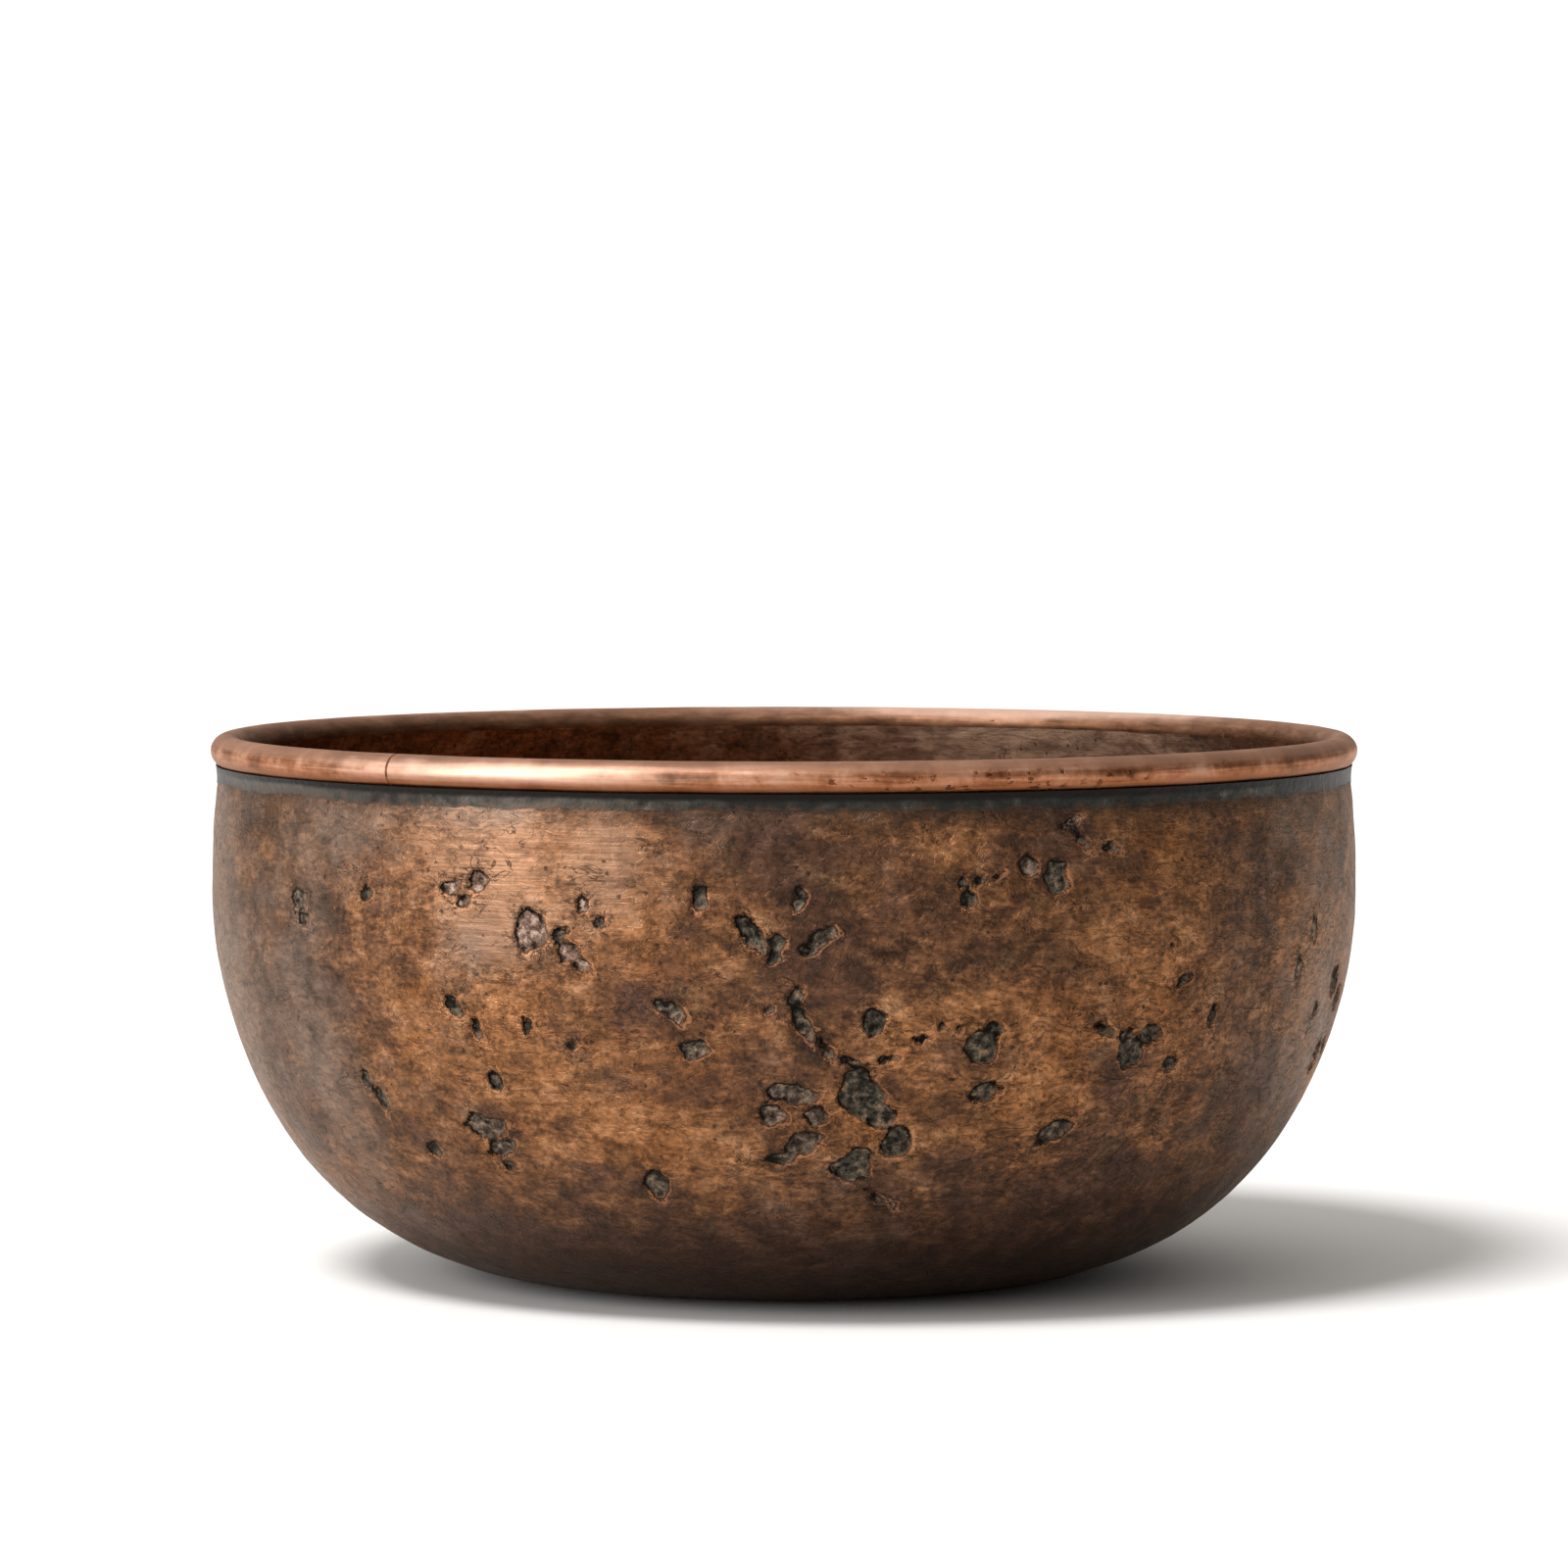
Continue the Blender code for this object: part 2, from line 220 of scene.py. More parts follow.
# What is placed at random, outside and inside
RANDOM_SEED = 11
RANDOM_CLUSTERS = 70
RANDOM_PATCHES = 60
RANDOM_DUST = 18
INNER_CLUSTERS = 50
OUTER_HEIGHTS = (14, 108)
INNER_HEIGHTS = (4, 108)
# Half width, half length and amount of random patches, and of random dull films
PATCH_SPANS = ((6, 20), (5, 16), (-0.45, 0.75))
DUST_SPANS = ((12, 30), (10, 35), (0.2, 0.7))
# How far from the front random patches, pits and dull films start
FRONT_HALF_ANGLE = 58
CLEAR_HALF_ANGLE = 76
DUST_HALF_ANGLE = 83

# A mark is a polygon with uneven sides and rounded corners, whose outline noise moves
MARK_SIDES = 5
MARK_MARGIN = 4
SIDE_TURN = 0.3
SIDE_REACH = (0.65, 1.0)
ROUNDNESS = 0.5
WOBBLE = 0.22
WOBBLE_POWER = 0.8
WOBBLE_SIZE = 0.55
FINE_WOBBLE = 0.35
FINE_WOBBLE_SIZE = 1.6

# Relief of the sheet in mm: round dimples, fine and broad unevenness, and the lip round a mark
DIMPLE_DEPTH = 0.16
DIMPLE_SIZE = 15
DIMPLE_SHIFT = 2
DIMPLE_SHIFT_SIZE = 9
FINE_DEPTH = 0.05
FINE_SIZE = 3.5
BROAD_DEPTH = 0.10
BROAD_SIZE = 40
MARK_LIP = 0.07


def random_place(rng, heights, keep_out):
    """Azimuth and height of a place that isn't within keep_out degrees of the front."""
    return rng.uniform(keep_out, 360 - keep_out), rng.uniform(*heights)


def random_marks(rng, clusters, heights, keep_out):
    """Small groups of pits and scars, the first of a group being the largest."""
    marks = []
    for _ in range(clusters):
        azimuth, height = random_place(rng, heights, keep_out)
        size = rng.choice((2.2, 2.8, 3.6, 4.8, 6.5, 9.0))
        kind = SCAR if rng.random() < 0.2 else PIT
        for _ in range(rng.choice((1, 1, 2, 3, 4))):
            marks.append(Mark(azimuth + rng.gauss(0, 0.5) * size * 0.6, height + rng.gauss(0, 0.7) * size,
                              size * rng.uniform(0.6, 1.2), size * rng.uniform(0.5, 1.1),
                              rng.uniform(-60, 60), rng.uniform(0.4, 0.9), kind))
            size *= 0.7
    return marks


def random_patches(rng, count, heights, keep_out, spans=PATCH_SPANS):
    """Patches whose half sizes and amounts are drawn from spans."""
    return [(*random_place(rng, heights, keep_out), *(rng.uniform(*span) for span in spans))
            for _ in range(count)]


def mark_distance(across, up, mark):
    """Distance in mm outside a mark's edge, below 0 inside it, at places given from its middle."""
    tilt = radians(mark.tilt)
    along = (across * cos(tilt) + up * sin(tilt)) / (mark.width / 2)
    beside = (up * cos(tilt) - across * sin(tilt)) / (mark.tall / 2)
    rng = random.Random(round(10 * mark.azimuth) + round(10 * mark.height))
    past_sides = np.full(len(across), -1.0)
    for k in range(MARK_SIDES):
        way = 2 * pi * (k + rng.uniform(-SIDE_TURN, SIDE_TURN)) / MARK_SIDES
        towards = along * cos(way) + beside * sin(way)
        past_sides = np.maximum(past_sides, towards - rng.uniform(*SIDE_REACH))
    past_oval = np.hypot(along, beside) - 1
    return (ROUNDNESS * past_oval + past_sides) * min(mark.width, mark.tall) / 2


class Surface:
    """One side of the shell as rows of points, with the coordinates that marks are placed in."""

    def __init__(self, azimuths, lengths, inset):
        """inset is how far the points lie in from the outline along its normal."""
        self.columns = len(azimuths)
        self.rows = len(lengths)
        self.azimuth = np.tile(azimuths, self.rows)
        self.length = np.repeat(lengths, self.columns)
        self.radius, height, turn = along_outline(self.length)
        a = np.radians(self.azimuth)
        self.normals = np.column_stack((np.sin(turn) * np.sin(a), -np.sin(turn) * np.cos(a), -np.cos(turn)))
        on_outline = np.column_stack((self.radius * np.sin(a), -self.radius * np.cos(a), height))
        self.points = on_outline - inset * self.normals

    def offset(self, azimuth, height):
        """Across and up distances in mm from a place, measured on the surface."""
        turn = (self.azimuth - azimuth + 180) % 360 - 180
        across = np.radians(turn) * self.radius / MM
        up = (self.length - length_at_height(height * MM)) / MM
        return across, up

    def wobble(self, near, size, shift, fine_shift):
        """How far noise moves the outline of a mark of this size, at the points that are near."""
        points = self.points[near]
        coarse = smooth_noise(points, WOBBLE_SIZE * size * MM, shift)
        fine = smooth_noise(points, FINE_WOBBLE_SIZE * MM, fine_shift)
        return WOBBLE * size ** WOBBLE_POWER * coarse + FINE_WOBBLE * fine

    def mark_fields(self, marks):
        """Distance outside the nearest mark's edge, and the mark's depth and kind at each point.

        The last field says where in the mark a point is: 1 at its upper left, -1 at its lower right; the look
        paints shade at the upper left and highlight at the lower right by it.
        """
        edge = np.full(len(self.points), FAR)
        depth, kind, corner = np.zeros((3, len(self.points)))
        for mark in marks:
            size = (mark.width + mark.tall) / 2
            across, up = self.offset(mark.azimuth, mark.height)
            reach = size + MARK_MARGIN
            near = np.flatnonzero((np.abs(across) < reach) & (np.abs(up) < reach))
            across = across[near] + self.wobble(near, size, mark.azimuth, 2.5)
            up = up[near] + self.wobble(near, size, mark.azimuth + 40, 6.5)
            distance = mark_distance(across, up, mark)
            closer = distance < edge[near]
            index = near[closer]
            edge[index] = distance[closer]
            depth[index] = mark.depth
            kind[index] = mark.kind
            corner[index] = np.clip((up - across)[closer] / (0.7 * size), -1, 1)
        return edge, depth, kind, corner

    def patch_field(self, patches):
        """Sum of soft patches, each given by its place, half sizes and amount."""
        total = np.zeros(len(self.points))
        for azimuth, height, wide, tall, amount in patches:
            across, up = self.offset(azimuth, height)
            total += amount * np.exp(-(across / wide) ** 2 - (up / tall) ** 2)
        return total

    def weather(self, marks, patches, brushed_and_highlight, dust_and_sheen_patches):
        """Sets the fields that the copper look reads, and the height in mm of the relief."""
        edge, depth, kind, corner = self.mark_fields(marks)
        polish_and_highlight = np.clip(self.patch_field([spot + (1,) for spot in brushed_and_highlight]), 0, 1)
        dust_and_sheen = np.clip(self.patch_field(dust_and_sheen_patches), 0, 1)
        self.fields = {"edge": edge, "kind": kind, "corner": corner,
                       "wear": self.patch_field(patches), "polish_and_highlight": polish_and_highlight, "dust_and_sheen": dust_and_sheen}
        points = self.points
        moved = points + DIMPLE_SHIFT * MM * smooth_noise(points, DIMPLE_SHIFT_SIZE * MM)[:, None]
        self.relief = -DIMPLE_DEPTH * hammer_cells(moved, DIMPLE_SIZE * MM)
        self.relief += FINE_DEPTH * smooth_noise(points, FINE_SIZE * MM, 1.7)
        self.relief += BROAD_DEPTH * smooth_noise(points, BROAD_SIZE * MM, 4.4)
        self.relief -= depth * smoothstep(0.2, -0.9, edge)
        self.relief += MARK_LIP * smoothstep(1.6, 0.5, np.abs(edge - 0.6)) * (depth > 0)

    def raised(self, fade):
        """The points, moved out along the normal by the relief times fade."""
        return self.points + self.normals * (self.relief * fade * MM)[:, None]


# ---------------- meshes

BASE_FADE = 8 * MM
LIP_FADE = 3 * MM
BAND_FADE = 8 * MM
RIM_COLUMNS = 720


def add_to_scene(name, data, place=(0, 0, 0)):
    obj = bpy.data.objects.new(name, data)
    obj.location = place
    scene.collection.objects.link(obj)
    return obj


def add_mesh(name, vertices, faces, fields=None):
    """Adds a mesh whose fields, by label, hold one number for each vertex."""
    mesh = bpy.data.meshes.new(name)
    mesh.from_pydata([tuple(v) for v in vertices], [], faces)
    mesh.validate()
    for label, values in (fields or {}).items():
        layer = mesh.attributes.new(label, "FLOAT", "POINT")
        layer.data.foreach_set("value", np.asarray(values, dtype=np.float32))
    mesh.shade_smooth()
    return add_to_scene(name, mesh)


def column_azimuths(columns):
    """Azimuths in degrees round the bowl, closer together at the front."""
    turn = 2 * pi * np.arange(columns) / columns
    return np.degrees(turn - FRONT_CROWDING * np.sin(turn))


def outer_surface(rng, azimuths):
    """The outside, and its points with the relief, which fades out at the flat base and the lip."""
    full = OUTLINE_LENGTH[-1]
    base = np.linspace(0, BASE_FLAT_RADIUS, BASE_ROWS + 1)[1:]
    wall = np.linspace(BASE_FLAT_RADIUS, full, OUTER_ROWS + 1)[1:]
    surface = Surface(azimuths, np.concatenate([base, wall]), 0)
    marks = [Mark(*row, kind) for kind, rows in FRONT_MARKS.items() for row in rows]
    marks += random_marks(rng, RANDOM_CLUSTERS, OUTER_HEIGHTS, CLEAR_HALF_ANGLE)
    patches = list(FRONT_PATCHES) + random_patches(rng, RANDOM_PATCHES, OUTER_HEIGHTS, FRONT_HALF_ANGLE)
    dust_and_sheen_patches = list(FRONT_DUST_AND_SHEEN)
    dust_and_sheen_patches += random_patches(rng, RANDOM_DUST, OUTER_HEIGHTS, DUST_HALF_ANGLE, DUST_SPANS)
    surface.weather(marks, patches, BRUSHED_AND_HIGHLIGHT, dust_and_sheen_patches)
    fade = smoothstep(0, BASE_FADE, surface.length - BASE_FLAT_RADIUS)
    fade *= smoothstep(0, LIP_FADE, full - surface.length)
    return surface, surface.raised(fade)


def inner_surface(rng, azimuths):
    """The inside, and its points with the relief, which fades out at the lip band."""
    lengths = np.linspace(0, OUTLINE_LENGTH[-1], INNER_ROWS + 1)[1:]
    surface = Surface(azimuths, lengths, SHEET)
    marks = random_marks(rng, INNER_CLUSTERS, INNER_HEIGHTS, 0)
    patches = list(INNER_PATCHES) + random_patches(rng, RANDOM_PATCHES, INNER_HEIGHTS, 0)
    surface.weather(marks, patches, INNER_BRUSHED_AND_HIGHLIGHT, INNER_DUST_AND_HIGHLIGHT)
    fade = smoothstep(0, BAND_FADE, length_at_height(BAND_LOW) - surface.length)
    return surface, surface.raised(-fade)


def skin_faces(surface, pole, outwards):
    """Faces of one side of the shell, whose vertices follow its pole: a fan, then rows of quads."""
    first, n = pole + 1, surface.columns
    faces = []
    for i in range(n):
        after = (i + 1) % n
        faces.append((pole, first + after, first + i))
        for j in range(surface.rows - 1):
            low = first + j * n
            high = low + n
            faces.append((low + i, low + after, high + after, high + i))
    return faces if outwards else [face[::-1] for face in faces]


def make_shell():
    """The raised sheet: one closed skin, outside and inside, joined over the top of the lip."""
    rng = random.Random(RANDOM_SEED)
    azimuths = column_azimuths(OUTER_COLUMNS)
    outer, outer_points = outer_surface(rng, azimuths)
    inner, inner_points = inner_surface(rng, azimuths[::INNER_SHARE])

    vertices = np.concatenate([[(0, 0, 0)], outer_points, [(0, 0, SHEET)], inner_points])
    fields = {}
    for label in outer.fields:
        middle = FAR if label == "edge" else 0.0
        fields[label] = np.concatenate([[middle], outer.fields[label], [middle], inner.fields[label]])
    inner_pole = 1 + len(outer_points)
    fields["inside"] = np.concatenate([np.zeros(inner_pole), np.ones(1 + len(inner_points))])

    faces = skin_faces(outer, 0, True) + skin_faces(inner, inner_pole, False)
    top_outer = inner_pole - outer.columns
    top_inner = len(vertices) - inner.columns
    for i in range(inner.columns):
        after = (i + 1) % inner.columns
        over = [top_outer + (i * INNER_SHARE + k) % outer.columns for k in range(INNER_SHARE + 1)]
        faces.append(tuple(over) + (top_inner + after, top_inner + i))
    return add_mesh("hammered_shell", vertices, faces, fields)


def ring(name, section, fields=None, gap=None, columns=RIM_COLUMNS):
    """A ring of revolution from a closed section of (radius, height) points.

    section(azimuth) gives the points at an azimuth in degrees. fields gives each field's rule,
    which takes an azimuth and the number of a point in the section.
    gap is the first and last azimuth of an open hoop, whose two ends are capped.
    """
    if gap:
        azimuths = np.linspace(gap[0], gap[1], columns)
    else:
        azimuths = np.arange(columns) * 360 / columns
    vertices = []
    for azimuth in azimuths:
        a = radians(azimuth)
        for r, z in section(azimuth):
            vertices.append((r * sin(a), -r * cos(a), z))
    n = len(section(0))
    spans = columns - 1 if gap else columns
    faces = []
    for i in range(spans):
        here, there = i * n, (i + 1) % columns * n
        for k in range(n):
            after = (k + 1) % n
            faces.append((here + k, here + after, there + after, there + k))
    if gap:
        faces.append(tuple(range(n))[::-1])
        faces.append(tuple(range((columns - 1) * n, columns * n)))
    values = {label: [rule(azimuth, k) for azimuth in azimuths for k in range(n)]
              for label, rule in (fields or {}).items()}
    hoop = add_mesh(name, vertices, faces, values)
    hoop.data.set_sharp_from_angle(angle=SHARP_ANGLE)
    return hoop


# ---------------- looks

def linear(red, green, blue):
    """A colour for a shader from 0 to 255 display values."""
    def one(value):
        value /= 255
        return value / 12.92 if value <= 0.04045 else ((value + 0.055) / 1.055) ** 2.4
    return (one(red), one(green), one(blue), 1)


def gain(red, green, blue):
    """A colour that multiplies another."""
    return (red, green, blue, 1)


class Look:
    """A procedural material. Most calls add a node and return its output socket."""

    def __init__(self, name):
        self.material = bpy.data.materials.new(name)
        self.material.use_nodes = True
        self.tree = self.material.node_tree
        self.shader = self.tree.nodes["Principled BSDF"]
        self.object_space = self.tree.nodes.new("ShaderNodeTexCoord").outputs["Object"]

    def feed(self, socket, value):
        """Links another node's output to an input, or sets it."""
        if isinstance(value, bpy.types.NodeSocket):
            self.tree.links.new(value, socket)
        else:
            socket.default_value = value

    def fill(self, node, inputs):
        """Feeds inputs by name, with _ for a space."""
        for label, value in inputs.items():
            self.feed(node.inputs[label.replace("_", " ")], value)

    def node(self, kind, **inputs):
        """Adds a node and feeds its inputs."""
        node = self.tree.nodes.new("ShaderNode" + kind)
        self.fill(node, inputs)
        return node

    def field(self, label):
        """A field of the mesh."""
        node = self.node("Attribute")
        node.attribute_name = label
        return node.outputs["Fac"]

    def height(self):
        """Height above the floor in metres."""
        return self.node("SeparateXYZ", Vector=self.object_space).outputs["Z"]

    def stretched(self, x, y, z, shift):
        """Object space scaled to features of x, y and z mm."""
        scale = (1 / (x * MM), 1 / (y * MM), 1 / (z * MM))
        node = self.node("Mapping", Vector=self.object_space, Scale=scale, Location=(shift, shift, shift))
        return node.outputs["Vector"]

    def noise(self, size, detail=4, rough=0.5, shift=0.0, warp=0.0):
        """Noise from 0 to 1. size is one size in mm, or (along the wall, up the wall).

        A shift keeps one pattern from lying on top of another.
        """
        wide, tall = size if isinstance(size, tuple) else (size, size)
        node = self.node("TexNoise", Vector=self.stretched(wide, wide, tall, shift), Scale=1,
                         Detail=detail, Roughness=rough, Distortion=warp)
        return node.outputs["Fac"]

    def cells(self, size, shift=0.0):
        """Distance to the nearest of many scattered points, as a share of size, which is in mm."""
        node = self.node("TexVoronoi", Vector=self.stretched(size, size, size, shift), Scale=1)
        return node.outputs["Distance"]

    def math(self, operation, a, b=0.0, c=0.0):
        node = self.node("Math")
        node.operation = operation
        for socket, value in zip(node.inputs, (a, b, c)):
            self.feed(socket, value)
        return node.outputs[0]

    def chain(self, operation, values):
        total = values[0]
        for value in values[1:]:
            total = self.math(operation, total, value)
        return total

    def add(self, *values):
        return self.chain("ADD", values)

    def times(self, *values):
        return self.chain("MULTIPLY", values)

    def line(self, value, slope, level):
        """value times slope, plus level."""
        return self.math("MULTIPLY_ADD", value, slope, level)

    def centred(self, fac, amount):
        """Noise as a signed amount either way of nothing."""
        return self.line(fac, 2 * amount, -amount)

    def creases(self, size, detail, rough, shift, warp):
        """Distance from the thin lines along which noise is half way."""
        return self.math("ABSOLUTE", self.centred(self.noise(size, detail, rough, shift, warp), 1.0))

    def step(self, value, low, high):
        """0 at low and 1 at high, smooth between them. low may be the larger."""
        flip = low > high
        node = self.node("MapRange", Value=value, From_Min=min(low, high), From_Max=max(low, high),
                         To_Min=float(flip), To_Max=float(not flip))
        node.interpolation_type = "SMOOTHSTEP"
        return node.outputs["Result"]

    def mix(self, fac, a, b, blend="MIX"):
        node = self.node("Mix")
        node.data_type = "RGBA"
        node.blend_type = blend
        # By number, because the names of this node's inputs repeat
        for index, value in ((0, fac), (6, a), (7, b)):
            self.feed(node.inputs[index], value)
        return node.outputs[2]

    def paint(self, under, fac, share, red, green, blue):
        """Lays a plain colour over another, by fac times share."""
        return self.mix(self.times(fac, share), under, linear(red, green, blue))

    def ramp(self, fac, *stops, colour=linear):
        """Colours between stops, each given by its position and three numbers that colour takes."""
        node = self.node("ValToRGB", Fac=fac)
        elements = node.color_ramp.elements
        while len(elements) < len(stops):
            elements.new(0.5)
        for element, (position, *numbers) in zip(elements, stops):
            element.position = position
            element.color = colour(*numbers)
        return node.outputs["Color"]

    def bump(self, height, depth, under=None):
        """A bump whose height of 1 stands depth mm proud, on top of the bump under it."""
        node = self.node("Bump", Distance=depth * MM, Height=height)
        if under:
            self.feed(node.inputs["Normal"], under)
        return node.outputs["Normal"]

    def finish(self, **inputs):
        self.fill(self.shader, inputs)
        return self.material


# Heights in mm between which the stain under the seam comes in
STAIN_LOW, STAIN_HIGH = 104, 111
COPPER_TINT = (0.94, 0.82, 0.74, 1)


class PatinatedCopper(Look):
    """The parts of the patinated copper. Its mesh fields come from Surface.weather."""

    def __init__(self):
        super().__init__("patinated_copper")
        self.polish_and_highlight = self.field("polish_and_highlight")
        self.inside = self.field("inside")
        self.broad = self.noise(30, 3, 0.5, 0, 0.4)
        self.blotch = self.noise((12, 9), 7, 0.61, 11, 0.4)
        self.dash = self.noise((4, 1.4), 5, 0.62, 5, 0.8)
        self.grain = self.noise(1.1, 3, 0.6, 21)
        self.brush = self.noise((14, 0.4), 3, 0.6, 2)
        self.film = self.noise(7, 6, 0.68, 37, 0.3)
        # Darker towards the floor: painted shade, much weaker inside
        self.low = self.times(self.step(self.height(), 40 * MM, 3 * MM), self.line(self.inside, -0.7, 1.0))

    def bareness(self):
        """0 where the patina is whole, 1 where the copper is bare."""
        tone = self.add(self.times(self.field("wear"), 0.62), self.centred(self.broad, 0.20),
                        self.centred(self.blotch, 0.85), self.centred(self.dash, 0.20),
                        self.centred(self.grain, 0.18), 0.40)
        tone = self.add(tone, self.times(self.low, -0.30), self.times(self.inside, 0.10))
        return self.step(tone, -0.05, 1.0)

    def patina(self):
        """Browns, with greenish and plum patches."""
        colour = self.ramp(self.film, (0.30, 44, 30, 23), (0.45, 66, 44, 32), (0.57, 86, 57, 41),
                           (0.72, 108, 74, 53))
        green = self.step(self.noise(10, 5, 0.62, 43), 0.54, 0.70)
        colour = self.paint(colour, green, 0.45, 70, 63, 46)
        plum = self.step(self.noise(16, 4, 0.6, 47), 0.52, 0.66)
        return self.paint(colour, plum, 0.40, 84, 60, 54)

    def bare_copper(self):
        """Golden browns, with rusty patches."""
        shine = self.add(self.centred(self.dash, 0.3), self.centred(self.film, 0.7),
                         self.centred(self.blotch, 0.4), 0.5)
        colour = self.ramp(shine, (0.10, 92, 61, 39), (0.38, 132, 89, 57), (0.62, 158, 108, 70),
                           (0.90, 186, 138, 98))
        rust = self.step(self.noise(19, 4, 0.55, 31), 0.48, 0.64)
        return self.paint(colour, rust, 0.5, 120, 72, 36)

    def wrinkles(self):
        """Fine folds in the skin of the metal, weaker where it is polished."""
        fold = self.creases((7, 4), 5, 0.6, 83, 1.2)
        return self.times(self.step(fold, 0.10, 0.0), self.line(self.polish_and_highlight, -0.8, 1.0))

    def shade(self, wrinkle):
        """Fine light and dark, to multiply the colour by."""
        speckle = self.noise(2.4, 4, 0.7, 105, 0.3)
        texture = self.add(self.centred(self.dash, 0.42), self.centred(self.grain, 0.58),
                           self.centred(speckle, 0.55), self.times(wrinkle, -0.18), 0.54)
        return self.ramp(texture, (0.15, 0.46, 0.43, 0.41), (0.50, 0.90, 0.90, 0.90),
                         (0.85, 1.38, 1.35, 1.32), colour=gain)

    def brushed_and_highlight(self):
        """How much of the brushed copper shows, which is partly a painted highlight."""
        amount = self.add(self.polish_and_highlight, self.centred(self.blotch, 1.2), self.centred(self.dash, 0.5))
        return self.times(self.step(amount, 0.1, 1.2), 0.8)

    def dust_and_sheen(self):
        """How much of the dull pale film shows, with the painted sheen at the left and right edges of the
        front.
        """
        amount = self.add(self.field("dust_and_sheen"), self.centred(self.film, 0.8), self.centred(self.broad, 0.7))
        return self.times(self.step(amount, 0.0, 1.2), 0.75, self.line(self.low, -0.7, 1.0))

    def rubbed_and_highlight(self, brushed_and_highlight):
        """Where the brushed copper inside is rubbed pale, partly a painted highlight on the inner wall at the
        back right.
        """
        streaky = self.step(self.noise((9, 3), 5, 0.65, 101, 0.8), 0.34, 0.64)
        return self.times(self.inside, brushed_and_highlight, self.line(streaky, 0.75, 0.25))

    def stain(self, dust_and_sheen):
        """The slate stain below the seam outside."""
        level = self.add(self.times(self.height(), 1 / MM), self.centred(self.film, 5.0),
                         self.times(dust_and_sheen, -9.0))
        return self.times(self.step(level, STAIN_LOW, STAIN_HIGH), self.math("SUBTRACT", 1.0, self.inside))

    def cracks(self):
        """Short creases in places, and splits round the pits."""
        crease = self.step(self.creases((10, 5), 4, 0.55, 89, 0.8), 0.024, 0.006)
        crease = self.times(crease, self.step(self.noise(12, 3, 0.5, 91), 0.52, 0.60))
        split = self.step(self.creases((5, 3.4), 4, 0.6, 93, 1.0), 0.05, 0.01)
        by_pit = self.step(self.field("edge"), 5.0, 1.0)
        return self.math("MAXIMUM", crease, self.times(split, by_pit))

    def specks(self):
        """Small ragged dots in places."""
        ragged = self.centred(self.noise(0.9, 2, 0.5, 17), 0.25)
        speck = self.step(self.add(self.cells(2.6), ragged), 0.20, 0.08)
        return self.times(speck, self.step(self.noise(13, 3, 0.5, 51), 0.44, 0.58))

    def mark_edge(self):
        """Distance in mm outside a mark's edge, made ragged."""
        fringe = self.add(self.centred(self.noise(1.4, 3, 0.6, 61), 1.1),
                          self.centred(self.noise(3, 2, 0.5, 63), 1.0),
                          self.centred(self.noise(0.5, 2, 0.5, 67), 0.3), -0.30)
        return self.add(self.field("edge"), fringe)

    def mark_floor(self, floor_tone):
        """The floor of a pit is slate and a scar's is pale."""
        slate = self.ramp(floor_tone, (0.36, 21, 18, 15), (0.45, 50, 45, 38), (0.53, 80, 74, 64),
                          (0.60, 112, 98, 82), (0.68, 154, 122, 97))
        pale = self.ramp(floor_tone, (0.36, 34, 26, 22), (0.44, 90, 70, 59), (0.52, 128, 105, 92),
                         (0.62, 184, 158, 142))
        return self.mix(self.field("kind"), slate, pale)

    def marked(self, colour, edge, in_mark, floor_tone):
        """The colour with the marks: painted shade at their upper left, with a painted highlight on their
        lower right side and lip.
        """
        ground = self.mark_floor(floor_tone)
        # Painted shade goes at a mark's upper left and painted highlight at its lower right
        corner = self.add(self.field("corner"), self.centred(self.noise(3, 2, 0.5, 97), 1.2))
        painted_shade_side = self.times(self.step(edge, -1.5, -0.7), self.step(corner, -0.5, 0.2))
        ground = self.mix(painted_shade_side, ground, linear(14, 10, 8))
        painted_light_side = self.times(self.step(edge, -1.3, -0.7), self.step(corner, -0.3, -0.9))
        ground = self.paint(ground, painted_light_side, 0.5, 150, 118, 96)
        painted_lip_highlight = self.times(self.step(edge, 0.0, 0.25), self.step(edge, 0.8, 0.35), self.step(corner, 0.1, -0.5))
        colour = self.paint(colour, painted_lip_highlight, 0.4, 190, 130, 92)
        return self.mix(in_mark, colour, ground)

    def relief(self, edge, in_mark, floor_tone, wrinkle, spot):
        """Marks, and on them dashes, grain and brushed lines, and outside also wrinkles and spots."""
        sunk = self.add(self.step(edge, -0.8, 0.2), self.times(in_mark, floor_tone, 0.9))
        normal = self.bump(sunk, 1.1)
        cut = self.times(self.add(self.times(wrinkle, 0.7), self.times(spot, 0.8)),
                         self.line(self.inside, -0.8, 1.0))
        fine = self.add(self.times(self.dash, 0.6), self.times(self.grain, 0.5),
                        self.times(self.brush, 0.4), self.times(cut, -1.0))
        return self.bump(fine, 0.16, normal)


